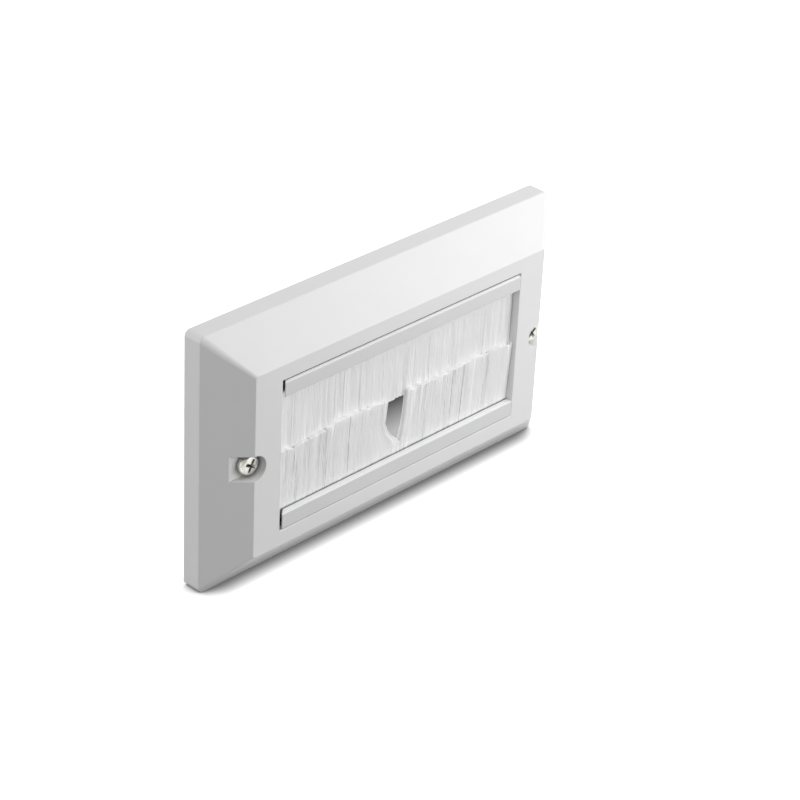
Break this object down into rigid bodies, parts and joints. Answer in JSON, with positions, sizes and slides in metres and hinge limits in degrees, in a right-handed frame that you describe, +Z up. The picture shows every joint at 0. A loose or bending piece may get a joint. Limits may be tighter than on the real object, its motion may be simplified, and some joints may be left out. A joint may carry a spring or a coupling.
{
  "type": "brush wall plate",
  "caption": "White double-size wall plate with sloping sides and a letterbox opening closed by facing bristle strips, for passing cables through a wall.",
  "frame": {"origin": "centre of the plate on the wall's surface, midway between the fixing screws", "axes": "+X to the right seen from the front, +Y into the wall, +Z up"},
  "size_m": [0.146, 0.0299, 0.086],
  "materials": {
    "plate_plastic": "white moulded plastic, satin",
    "rail_plastic": "white moulded plastic, satin",
    "nylon_bristle": "translucent white nylon filament",
    "galvanised_steel": "zinc plated, dull",
    "nickel_screw": "nickel plated, semi-bright"
  },
  "bodies": {
    "root": {"faceplate": "plate_plastic", "upper_rail": "rail_plastic", "lower_rail": "rail_plastic", "upper_strip_channel": "galvanised_steel", "lower_strip_channel": "galvanised_steel", "upper_core_wire": "galvanised_steel", "lower_core_wire": "galvanised_steel", "upper_bristles": "nylon_bristle", "lower_bristles": "nylon_bristle", "left_fixing_screw": "nickel_screw", "right_fixing_screw": "nickel_screw"}
  },
  "joints": []
}
